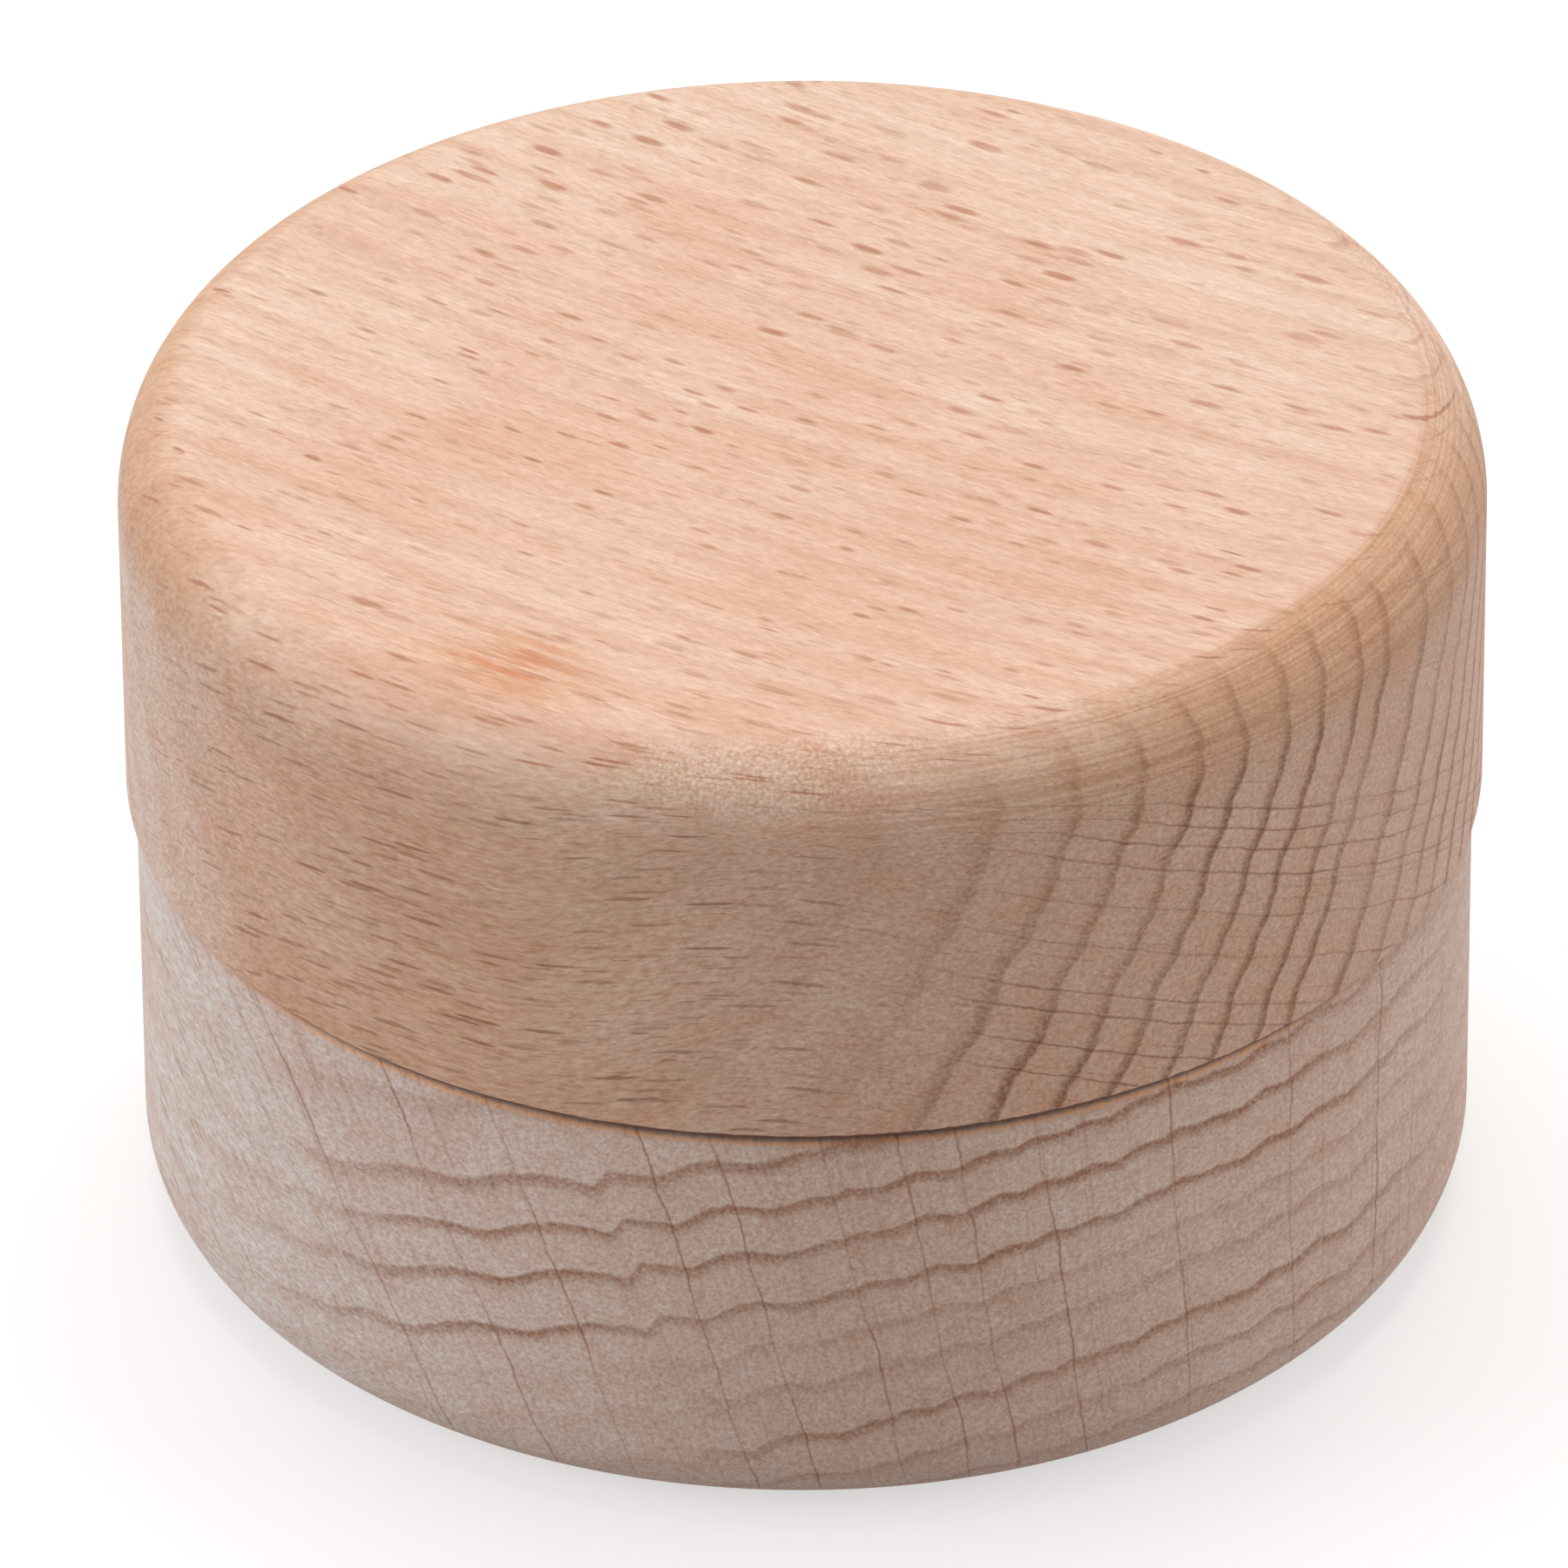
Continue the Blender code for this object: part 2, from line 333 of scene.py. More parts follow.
LATE_TONES_ON_LONG_GRAIN = {3: 1.045, 4: 0.95}
BANDED_ALONG = {1: -9, 2: 3}
FOOT_PAINTED_SHADE = {1: 0.9, 2: 1.5, 3: 0.86, 4: 1}  # painted shade: the foot's underside is painted darker where it turns down towards the floor

# The lid's rounded rim, by height and by place along the fibre
RIM = {1: 32.4, 2: 33.8}
TAN = {1: 31.4, 2: 34.4, 4: 0.65}
TANNED_END = {1: 18, 2: 25.5}
OTHER_TANNED_END = {1: -6, 2: -14}
TURNING_MARK, TURNING_MARK_LENGTH = 0.17, 22
TURNING_MARK_EDGES = {1: 0.35, 2: 0.65}
TURNING_MARK_TONES = {3: 0.86, 4: 1.16}
MARKED_END = {1: 13, 2: 20}
PIT_SIZE = 0.15
PIT_TONES = {1: 0.3, 2: 0.7, 3: 0.75, 4: 1.25}
PITTED_HEIGHTS = {1: 33.6, 2: 34.8}
PITTED_FROM, PITTED_TO = {1: 4, 2: 9}, {1: 15, 2: 20, 3: 1, 4: 0}
RUBBED_HEIGHTS = {1: 35.6, 2: 36.5, 3: 1, 4: 0}
RUBBED_TONES = {3: 1, 4: 1.06}

SEAM_IN_FRONT = {1: -16, 2: -21, 3: 0.1, 4: 1}  # the seam's painted shadow and highlight fade out along Y
BEECH_ROUGHNESS = {3: 0.60, 4: 0.48}  # off the rays and on them

Grain = collections.namedtuple(
    "Grain",
    "place x y height along across up distance way_round ray_round ragged "
    "cut other_cut squarely upright end_grain",
)
Figure = collections.namedtuple("Figure", "fibres bands clouds mottle pores")


def read_cut(add, turn):
    """How squarely the surface cuts the fibre at one end and at the other, and at either; how upright
    it stands, and how much it shows end grain.
    """
    normal = add("TexCoord", out="Normal")
    cut = add(
        "VectorMath",
        {0: normal, 1: (math.cos(turn), -math.sin(turn), 0)},
        out="Value",
        operation="DOT_PRODUCT",
    )
    other_cut = add("Math", {0: cut, 1: -1}, operation="MULTIPLY")
    squarely = add("Math", {0: cut}, operation="ABSOLUTE")
    level = add("SeparateXYZ", {0: normal}).node.outputs[2]
    upright = add("MapRange", {0: level, **UPRIGHT})
    # End grain starts crisply at the top's edge, and softly on the sides and at the other end.
    end_grain = add(
        "Mix",
        {0: upright,
         2: add("MapRange", {0: cut, **END_GRAIN_ON_TOP}),
         3: add("MapRange", {0: cut, **END_GRAIN_ON_SIDES})},
    )
    other_end = add("MapRange", {0: other_cut, **OTHER_END_GRAIN})
    end_grain = add("Math", {0: end_grain, 1: other_end}, operation="MAXIMUM")
    return cut, other_cut, squarely, upright, end_grain


def read_grain(add, board):
    """Where a point lies in its board, and how the surface there cuts the fibre."""
    place = place_on_object(add)
    x, y, height = add("SeparateXYZ", {0: place}).node.outputs
    turn = math.radians(board["turn"])
    turned_place = add("Mapping", {"Vector": place, "Rotation": (0, 0, turn)})
    along, across, up = add("SeparateXYZ", {0: turned_place}).node.outputs
    squared = add("Math", {0: along, 1: along}, operation="MULTIPLY")
    across = add(
        "Math", {0: squared, 1: -board["bend_across"] / 2, 2: across}, operation="MULTIPLY_ADD"
    )
    off_level = add("Math", {0: along, 1: board["level_at"]}, operation="SUBTRACT")
    squared = add("Math", {0: off_level, 1: off_level}, operation="MULTIPLY")
    bent = add("Math", {0: squared, 1: board["bend_up"] / 2}, operation="MULTIPLY")

    pith_across, pith_up = board["pith"]
    out_across = add("Math", {0: across, 1: pith_across}, operation="SUBTRACT")
    out_up = add("Math", {0: up, 1: bent}, operation="ADD")
    out_up = add("Math", {0: out_up, 1: pith_up}, operation="SUBTRACT")
    out = add("CombineXYZ", {0: out_across, 1: out_up})
    distance = add("VectorMath", {0: out}, out="Value", operation="LENGTH")
    angle = add("Math", {0: out_across, 1: out_up}, operation="ARCTAN2")
    way_round = add("Math", {0: angle, 1: board["middle_ring"]}, operation="MULTIPLY")

    # Down over the rim the fibre comes to bend and climb, and the rays with it.
    over_rim = {1: RIM[1], 2: cad_high.z * MM_PER_METRE, 3: 1, 4: 0}
    below_rim = add("MapRange", {0: height, **over_rim})
    climbed = add(
        "MapRange",
        {0: along, 1: board["climb_from"], 2: board["climb_to"], 4: board["climb"]},
        **SMOOTHLY,
    )
    lifted = add("Math", {0: bent, 1: climbed}, operation="SUBTRACT")
    up = add("Math", {0: lifted, 1: below_rim, 2: up}, operation="MULTIPLY_ADD")
    out_up = add("Math", {0: up, 1: pith_up}, operation="SUBTRACT")
    angle = add("Math", {0: out_across, 1: out_up}, operation="ARCTAN2")
    # A ray's edge is a little ragged.
    drawn = add("Math", {0: along, 1: FIBRE_SHORTENING}, operation="MULTIPLY")
    drawn = add("CombineXYZ", {0: across, 1: up, 2: drawn})
    ragged = add("TexNoise", {"Vector": drawn, "Scale": 1 / RAY_ROUGHNESS_SIZE, "Detail": 2})
    ragged = add("MapRange", {0: ragged, 3: -RAY_ROUGHNESS, 4: RAY_ROUGHNESS})
    ray_round = add(
        "Math", {0: angle, 1: board["middle_ring"], 2: ragged}, operation="MULTIPLY_ADD"
    )
    return Grain(
        place, x, y, height, along, across, up, distance, way_round, ray_round, ragged,
        *read_cut(add, turn),
    )


def ring_place(add, board, grain):
    """How far out from the pith a point grew, so that the rings waver, bulge between the broad rays,
    dip at a notch and fan out.
    """
    together = add(
        "TexNoise",
        {"W": add("Math", {0: grain.way_round, 1: board["seed"]}, operation="ADD"),
         "Scale": 1 / RING_WAVER_LENGTH, "Detail": 4, "Roughness": 0.45},
        noise_dimensions="1D",
    )
    own = add(
        "TexNoise",
        {"Vector": add("CombineXYZ", {0: grain.distance, 1: grain.way_round, 2: grain.along}),
         "Scale": 1 / OWN_WAVER_LENGTH, "Detail": 2, "Roughness": 0.5},
    )
    steps = add(
        "TexVoronoi",
        {"W": grain.way_round, "Scale": 1 / RING_STEP_LENGTH},
        out="Distance",
        voronoi_dimensions="1D",
    )
    grown = grain.distance
    for off, middle, most in (
        (together, NOISE_MIDDLE, RING_WAVER),
        (own, NOISE_MIDDLE, OWN_WAVER),
        (steps, STEP_MIDDLE, RING_STEP),
    ):
        off = add("Math", {0: off, 1: middle}, operation="SUBTRACT")
        most = most * board["waver"]
        grown = add("Math", {0: off, 1: most, 2: grown}, operation="MULTIPLY_ADD")
    if board["notch_at"] is not None:
        # One ray pulls every ring that it crosses into a small dip.
        off = add("Math", {0: grain.way_round, 1: board["notch_at"]}, operation="SUBTRACT")
        off = add("Math", {0: off}, operation="ABSOLUTE")
        dip = add("MapRange", {0: off, 1: 0, 2: NOTCH_HALF_WIDTH, 3: NOTCH_DEPTH, 4: 0}, **SMOOTHLY)
        grown = add("Math", {0: grown, 1: dip}, operation="ADD")
    if board["fan"]:
        above = add("Math", {0: grain.up, 1: board["middle_height"]}, operation="SUBTRACT")
        spread = add("Math", {0: above, 1: -board["fan"], 2: 1}, operation="MULTIPLY_ADD")
        off = add("Math", {0: grown, 1: board["middle_ring"]}, operation="SUBTRACT")
        grown = add(
            "Math", {0: off, 1: spread, 2: board["middle_ring"]}, operation="MULTIPLY_ADD"
        )
    return grown


def ring_lines(add, board, grain):
    """The dark line at the end of each year's ring, from 0 to 1 where an end shows it, and the
    darker late part of each year, from 0 to 1 everywhere.
    """
    # One curve gives each year the width that its ring has, and another says how bold its line is.
    rings = board["rings"]
    first, last, years = rings[0], rings[-1], len(rings) - 1
    grown = ring_place(add, board, grain)
    share = add("MapRange", {0: grown, 1: first, 2: last}, clamp=False)
    read = []
    for heights, beyond in (
        ([year / years for year in range(years + 1)], "EXTRAPOLATED"),
        (board["ring_shares"], "HORIZONTAL"),
    ):
        curve = add("FloatCurve", {"Value": share}).node
        points = curve.mapping.curves[0].points
        points[0].location = 0, heights[0]
        points[1].location = 1, heights[-1]
        for ring, height in list(zip(rings, heights))[1:-1]:
            points.new((ring - first) / (last - first), height)
        curve.mapping.extend = beyond
        curve.mapping.update()
        read.append(curve.outputs[0])
    year, bold = read
    year = add("Math", {0: year, 1: years}, operation="MULTIPLY")
    season = add("Math", {0: year}, operation="FRACT")
    spring = add("MapRange", {0: season, **NEXT_SPRING}, **SMOOTHLY)
    line, band = (
        add(
            "Math",
            {0: add("MapRange", {0: season, **late}, **SMOOTHLY), 1: spring},
            operation="MAXIMUM",
        )
        for late in (LATE_LINE, LATE_BAND)
    )

    # A line comes and goes on its way round.
    fading = add(
        "TexNoise",
        {"Vector": add("CombineXYZ", {0: grain.way_round, 1: grain.distance, 2: board["seed"]}),
         "Scale": 1 / LINE_FADING_LENGTH, "Detail": 1},
    )
    bold = weighted(add, bold, (fading, LINE_FADING))
    if board["inner_rings"]:
        notch_at = board["notch_at"]
        past_notch = {1: notch_at, 2: notch_at + NOTCH_RECOVERY, 3: STOPPED_LINE, 4: 1}
        inner_from, inner_to = board["inner_rings"]
        goes_on = add(
            "Math",
            {0: add("MapRange", {0: grain.way_round, **past_notch}),
             1: add("MapRange", {0: grain.distance, 1: inner_from, 2: inner_to})},
            operation="MAXIMUM",
        )
        bold = add("Math", {0: bold, 1: goes_on}, operation="MULTIPLY")

    # The lines show where the surface cuts the fibre squarely enough, on one end more than the other.
    clear, blurred = (
        add("MapRange", {0: cut, 1: shows_from, 2: shows_fully, 3: LINE_ON_LONG_GRAIN, 4: 1})
        for cut, (shows_from, shows_fully) in (
            (grain.cut, board["clear_end"]), (grain.other_cut, board["blurred_end"])
        )
    )
    shown = add("Math", {0: clear, 1: blurred}, operation="MAXIMUM")
    line = add("Math", {0: line, 1: bold}, operation="MULTIPLY")
    return add("Math", {0: shown, 1: line}, operation="MULTIPLY"), band


def ray_marks(add, rays, grain):
    """Where the surface cuts a ray, from 0 beside it to at most 1 in it."""
    out, around, lengthwise = rays["spread"]
    place = add(
        "CombineXYZ",
        {0: add("Math", {0: grain.distance, 1: out}, operation="DIVIDE"),
         1: add("Math", {0: grain.ray_round, 1: around}, operation="DIVIDE"),
         2: add("Math", {0: grain.along, 1: lengthwise}, operation="DIVIDE")},
    )
    ray = add("TexVoronoi", {"Vector": place, "Scale": 1}).node
    luck = add("SeparateXYZ", {0: ray.outputs["Color"]}).node
    smallest, largest = rays["size_shares"]
    size = add("MapRange", {0: luck.outputs[0], 3: smallest, 4: largest})
    core = weighted(add, size, (grain.upright, RAY_CORE_SHARES))
    mark = add(
        "MapRange", {0: ray.outputs["Distance"], 1: core, 2: size, 3: 1, 4: 0}, **SMOOTHLY
    )
    return weighted(add, mark, (luck.outputs[1], {3: rays["weakest"], 4: 1}))


def full_rays(add, board, grain):
    """The few broad rays that cross many rings where an end shows them, each a line that sways a
    little and comes and goes.
    """
    swaying = add(
        "TexNoise",
        {"Vector": add("CombineXYZ", {0: grain.distance, 1: grain.way_round}),
         "Scale": 1 / FULL_RAY_SWAY_LENGTH, "Detail": 2},
        noise_dimensions="2D",
    )
    sway = add("Math", {0: swaying, 1: NOISE_MIDDLE}, operation="SUBTRACT")
    round_here = add(
        "Math", {0: sway, 1: FULL_RAY_SWAY, 2: grain.ray_round}, operation="MULTIPLY_ADD"
    )
    nearest = None
    for ray in board["full_rays"]:
        off = add("Math", {0: round_here, 1: ray}, operation="SUBTRACT")
        off = add("Math", {0: off}, operation="ABSOLUTE")
        nearest = off if nearest is None else add("Math", {0: nearest, 1: off}, operation="MINIMUM")
    mark = add("MapRange", {0: nearest, 1: 0, 2: FULL_RAY_HALF_WIDTH, 3: 1, 4: 0}, **SMOOTHLY)
    shows_from, shows_fully = board["full_rays_show"]
    in_front = {1: shows_from, 2: shows_fully}
    return weighted(add, mark, (swaying, FULL_RAY_FADING), (grain.along, in_front))


def all_rays(add, board, grain):
    """The rays that the surface cuts: strong and fine short ones, which fade on an end, and the few
    full ones.
    """
    strong, fine = (ray_marks(add, rays, grain) for rays in (STRONG_RAYS, FINE_RAYS))
    fine = add("Math", {0: fine, 1: FINE_RAY_STRENGTH}, operation="MULTIPLY")
    rays = add("Math", {0: strong, 1: fine}, operation="MAXIMUM")
    strengths = {3: board["short_rays"], 4: board["short_rays_on_end"]}
    rays = weighted(add, rays, (grain.squarely, {**SHORT_RAYS_END, **strengths}))
    return add("Math", {0: rays, 1: full_rays(add, board, grain)}, operation="MAXIMUM")


def drawn_along(add, grain, shortening):
    """A place for a pattern that is drawn out along the fibre."""
    along = add("Math", {0: grain.along, 1: shortening}, operation="MULTIPLY")
    return add("CombineXYZ", {0: grain.across, 1: grain.up, 2: along})


def wood_figure(add, grain):
    """Fibres, bands along them, clouds and mottle, each a noise, and pores, which are 1 inside."""
    fibre_place = drawn_along(add, grain, FIBRE_SHORTENING)
    mottle_place = drawn_along(add, grain, MOTTLE_SHORTENING)
    noises = [
        add(
            "TexNoise",
            {"Vector": place, "Scale": 1 / size, "Detail": detail, "Roughness": roughness},
        )
        for place, size, detail, roughness in (
            (fibre_place, FIBRE_WIDTH, 3, 0.6),
            (fibre_place, BAND_WIDTH, 2, 0.5),
            (grain.place, CLOUD_SIZE, 2, 0.5),
            (mottle_place, MOTTLE_SIZE, 3, 0.7),
        )
    ]
    pores = add(
        "TexVoronoi",
        {"Vector": drawn_along(add, grain, PORE_SHORTENING), "Scale": 1 / PORE_SPREAD},
        out="Distance",
    )
    edge = PORE_RADIUS / PORE_SPREAD
    return Figure(*noises, add("MapRange", {0: pores, 1: edge / 2, 2: edge, 3: 1, 4: 0}))


def ground_warmth(add, board, grain, figure):
    """How warm the ground is: clouds, bands, a streaked smudge, and the top in front."""
    warmth = add(
        "Math",
        {0: add("MapRange", {0: figure.clouds, **WARM_CLOUDS}),
         1: add("MapRange", {0: figure.bands, **WARM_BANDS})},
        operation="ADD",
    )
    if board["smudge"]:
        smudge = board["smudge"]
        off_along = add("Math", {0: grain.along, 1: smudge["along"]}, operation="SUBTRACT")
        off_across = add("Math", {0: grain.across, 1: smudge["across"]}, operation="SUBTRACT")
        off = add(
            "CombineXYZ",
            {0: add("Math", {0: off_along, 1: smudge["length"]}, operation="DIVIDE"),
             1: add("Math", {0: off_across, 1: smudge["width"]}, operation="DIVIDE")},
        )
        off = add("VectorMath", {0: off}, out="Value", operation="LENGTH")
        smudged = add("MapRange", {0: off, 1: 0, 2: 1, 3: 1, 4: 0}, **SMOOTHLY)
        streaked = add("Math", {0: figure.bands, 1: figure.fibres}, operation="ADD")
        streaked = add("MapRange", {0: streaked, **SMUDGE_STREAKS})
        warmth = add("Math", {0: smudged, 1: streaked, 2: warmth}, operation="MULTIPLY_ADD")
    if board["front_warmth"]:
        in_front = add("MapRange", {0: grain.y, **board["front_warmth"]})
        in_front = add("Mix", {0: grain.upright, 2: in_front, 3: 0})
        warmth = add("Math", {0: warmth, 1: in_front}, operation="ADD", use_clamp=True)
    return warmth


def ground_colour(add, board, grain, figure):
    """The plain wood: the top, the upright long grain and the end grain of a board, a painted sheen
    that pales its left side, and over them the warmer places.
    """
    ground = add(
        "Mix",
        {0: grain.upright, 6: linear(board["top_grain"]), 7: linear(board["side_grain"])},
        **COLOURS,
    )
    upright_end = add("Math", {0: grain.end_grain, 1: grain.upright}, operation="MULTIPLY")
    # Painted sheen: the upright sides are painted paler and greyer towards the left.
    pale = weighted(add, grain.upright, (grain.x, {1: board["pale_from"], 2: board["pale_to"]}))
    warmth = ground_warmth(add, board, grain, figure)
    for share, colour in ((upright_end, "end_grain"), (pale, "painted_left_sheen"), (warmth, "warm")):
        ground = add("Mix", {0: share, 6: ground, 7: linear(board[colour])}, **COLOURS)
    return ground


def wood_tone(add, grain, figure, band):
    """What the lighter and darker places multiply the colour by: mottle, fibres, pores, clouds, the
    late part of each year, most on long grain in front, and painted shade on the foot's underside.
    """
    contrast = add("MapRange", {0: grain.upright, **MOTTLE_CONTRAST})
    mottle = add("Math", {0: figure.mottle, 1: NOISE_MIDDLE}, operation="SUBTRACT")
    tone = add("Math", {0: mottle, 1: contrast, 2: 1}, operation="MULTIPLY_ADD")
    banded = weighted(add, grain.upright, (grain.squarely, LONG_GRAIN), (grain.along, BANDED_ALONG))
    late = add(
        "Mix",
        {0: banded,
         2: add("MapRange", {0: band, **LATE_TONES}),
         3: add("MapRange", {0: band, **LATE_TONES_ON_LONG_GRAIN})},
    )
    tone = add("Math", {0: tone, 1: late}, operation="MULTIPLY")
    # The foot's underside gets painted shade through its tone.
    return weighted(
        add, tone, (figure.fibres, FIBRE_TONES), (figure.pores, PORE_TONES),
        (figure.clouds, CLOUD_TONES), (grain.height, FOOT_PAINTED_SHADE),
    )


def turning_marks(add, grain):
    """Fine lines that the sanding left round the lid's rounded rim, from 0 to 1."""
    level_place = add("CombineXYZ", {0: grain.x, 1: grain.y})
    radius = add("VectorMath", {0: level_place}, out="Value", operation="LENGTH")
    down_the_rim = add("Math", {0: radius, 1: grain.height}, operation="SUBTRACT")
    down_the_rim = add("Math", {0: down_the_rim, 1: TURNING_MARK}, operation="DIVIDE")
    level_place = add(
        "VectorMath", {0: level_place, "Scale": 1 / TURNING_MARK_LENGTH}, operation="SCALE"
    )
    level_x, level_y, _ = add("SeparateXYZ", {0: level_place}).node.outputs
    place = add("CombineXYZ", {0: level_x, 1: level_y, 2: down_the_rim})
    lines = add("TexNoise", {"Vector": place, "Scale": 1, "Detail": 1})
    return add("MapRange", {0: lines, **TURNING_MARK_EDGES})


def worn_rim(add, board, grain, ground, line, tone):
    """The lid's rounded rim: tanned and marked by the sanding where it turns across the fibre, pitted
    by open pores in front, and rubbed a little paler between its tanned ends.
    """
    rim = add("MapRange", {0: grain.height, **RIM}, **SMOOTHLY)
    rim = add("Math", {0: rim, 1: grain.end_grain}, operation="MULTIPLY")
    line = weighted(add, line, (rim, {3: 1, 4: LINE_ON_RIM}))

    tanned_end = add("MapRange", {0: grain.along, **TANNED_END})
    other_end = add("MapRange", {0: grain.along, **OTHER_TANNED_END})
    ends = add("Math", {0: tanned_end, 1: other_end}, operation="MAXIMUM")
    tan = add("Math", {0: grain.end_grain, 1: ends}, operation="MULTIPLY")
    tan = weighted(add, tan, (grain.height, TAN))
    ground = add("Mix", {0: tan, 6: ground, 7: linear(board["rim_tan"])}, **COLOURS)

    marked = weighted(add, rim, (grain.along, MARKED_END))
    marks = add("MapRange", {0: turning_marks(add, grain), **TURNING_MARK_TONES})
    pitted = weighted(
        add, grain.end_grain, (grain.height, PITTED_HEIGHTS), (grain.along, PITTED_FROM),
        (grain.along, PITTED_TO),
    )
    pits = add("TexNoise", {"Vector": grain.place, "Scale": 1 / PIT_SIZE, "Detail": 1})
    pits = add("MapRange", {0: pits, **PIT_TONES})
    for share, shade in ((marked, marks), (pitted, pits)):
        shade = add("Mix", {0: share, 2: 1, 3: shade})
        tone = add("Math", {0: tone, 1: shade}, operation="MULTIPLY")
    rubbed = add("Math", {0: 1, 1: ends}, operation="SUBTRACT")
    rubbed = weighted(add, rubbed, (grain.height, RIM), (grain.height, RUBBED_HEIGHTS))
    return ground, line, weighted(add, tone, (rubbed, RUBBED_TONES))


def painted_seam_mask(add, board, grain):
    """Where the seam's painted shadow or highlight lies, from 0 to 1, most in front."""
    off = add("Math", {0: grain.height, 1: grain.ragged}, operation="ADD")
    off = add("Math", {0: off, 1: board["edge_height"]}, operation="SUBTRACT")
    off = add("Math", {0: off}, operation="ABSOLUTE")
    inside, outside = board["edge_reach"]
    edge = add("MapRange", {0: off, 1: inside, 2: outside, 3: 1, 4: 0})
    return weighted(add, edge, (grain.y, SEAM_IN_FRONT))


def beech(name, board):
    """Beech, turned and sanded and left bare: matt, with a soft pink-brown ground, a brown line at
    the end of each ring, and ray flecks that show as dashes on long grain and lines on end grain.
    """
    material, add = new_material(name)
    grain = read_grain(add, board)
    figure = wood_figure(add, grain)
    line, band = ring_lines(add, board, grain)
    rays = all_rays(add, board, grain)
    ground = ground_colour(add, board, grain, figure)
    tone = wood_tone(add, grain, figure, band)
    if board["rim_tan"]:
        ground, line, tone = worn_rim(add, board, grain, ground, line, tone)
    # Painted shade at the seam: a dark line along the lid's lower edge, and a pale highlight on the
    # base's upper edge.
    edge = painted_seam_mask(add, board, grain)
    ground = add("Mix", {0: edge, 6: ground, 7: linear(board["seam_shadow_and_highlight"])}, **COLOURS)

    # Rings and rays stain the ground, and the mottle breaks up a ring's line.
    broken = add("MapRange", {0: figure.mottle, **LINE_BREAKS}, clamp=False)
    line = add("Math", {0: line, 1: broken}, operation="MULTIPLY", use_clamp=True)
    on_end = add("MapRange", {0: grain.squarely, **RAY_STAIN_ON_END})
    on_top, on_side = linear(RAY_STAIN_ON_TOP), linear(board["ray_stain_on_side"])
    ray_stain = add("Mix", {0: grain.upright, 6: on_top, 7: on_side}, **COLOURS)
    ray_stain = add(
        "Mix", {0: on_end, 6: ray_stain, 7: linear(board["ray_stain_on_end"])}, **COLOURS
    )
    stained = ground
    for share, stain in ((line, linear(board["ring_stain"])), (rays, ray_stain)):
        stained = add("Mix", {0: share, 6: stained, 7: stain}, blend_type="MULTIPLY", **COLOURS)

    off_tone = add("Math", {0: tone, 1: 1}, operation="SUBTRACT")
    tone = add(
        "VectorMath", {0: off_tone, 1: SHADE_WARMTH, 2: (1, 1, 1)}, operation="MULTIPLY_ADD"
    )
    colour = add("VectorMath", {0: stained, 1: tone}, operation="MULTIPLY")
    roughness = add("MapRange", {0: rays, **BEECH_ROUGHNESS})
    relief = add("Math", {0: figure.pores, 1: PORE_RELIEF, 2: figure.mottle}, operation="MULTIPLY_ADD")
    bump = add("Bump", {"Height": relief, "Strength": 0.3, "Distance": 0.00003})
    surface = add(
        "BsdfPrincipled",
        {"Base Color": colour, "Roughness": roughness, "IOR": 1.5, "Normal": bump},
    )
    add("OutputMaterial", {"Surface": surface})
    return material


# Velvet, in millimetres. Real tufts of pile are 0.05 mm apart, and are drawn wider so that they show.
IVORY, IVORY_SHADE, PILE_BLOOM = "F8EFE1", "E3D4BF", "FFF6E6"
BRUSHED_PATCH = 6
TUFT_SPREAD = 0.18
NAP_SHADE = {1: 0.35, 2: 0.65, 4: 0.6}
TUFT_SHADE = {1: 0.3, 2: 0.7, 4: 0.4}
BRUSHED_RELIEF = 0.6


def velvet(name, colour, shade):
    """Cotton velvet, cut pile: matt and deep, with a pale bloom where the pile is seen end on and
    soft lighter and darker patches where it has been brushed one way or the other.
    """
    material, add = new_material(name)
    place = place_on_object(add)
    brushed = add(
        "TexNoise", {"Vector": place, "Scale": 1 / BRUSHED_PATCH, "Detail": 2, "Distortion": 0.6}
    )
    tufts = add(
        "TexNoise", {"Vector": place, "Scale": 1 / TUFT_SPREAD, "Detail": 2, "Roughness": 0.7}
    )
    dark = add(
        "Math",
        {0: add("MapRange", {0: brushed, **NAP_SHADE}),
         1: add("MapRange", {0: tufts, **TUFT_SHADE})},
        operation="ADD",
        use_clamp=True,
    )
    colour = add("Mix", {0: dark, 6: linear(colour), 7: linear(shade)}, **COLOURS)
    relief = add("Math", {0: brushed, 1: BRUSHED_RELIEF, 2: tufts}, operation="MULTIPLY_ADD")
    bump = add("Bump", {"Height": relief, "Strength": 0.5, "Distance": 0.00012})
    surface = add(
        "BsdfPrincipled",
        {"Base Color": colour, "Roughness": 0.92, "Specular IOR Level": 0.2,
         "Sheen Weight": 0.55, "Sheen Roughness": 0.35, "Sheen Tint": linear(PILE_BLOOM),
         "Normal": bump},
    )
    add("OutputMaterial", {"Surface": surface})
    return material


# Grey board, in millimetres
BOARD_GREY, BOARD_SHADE, SPECK_BROWN = "A39C8F", "8C867B", "5E574D"
PULP_CLUMP = 0.7
SPECK_SPREAD = 0.9
SPECK_EDGE = {1: 0.08, 2: 0.16, 3: 0.5, 4: 0}


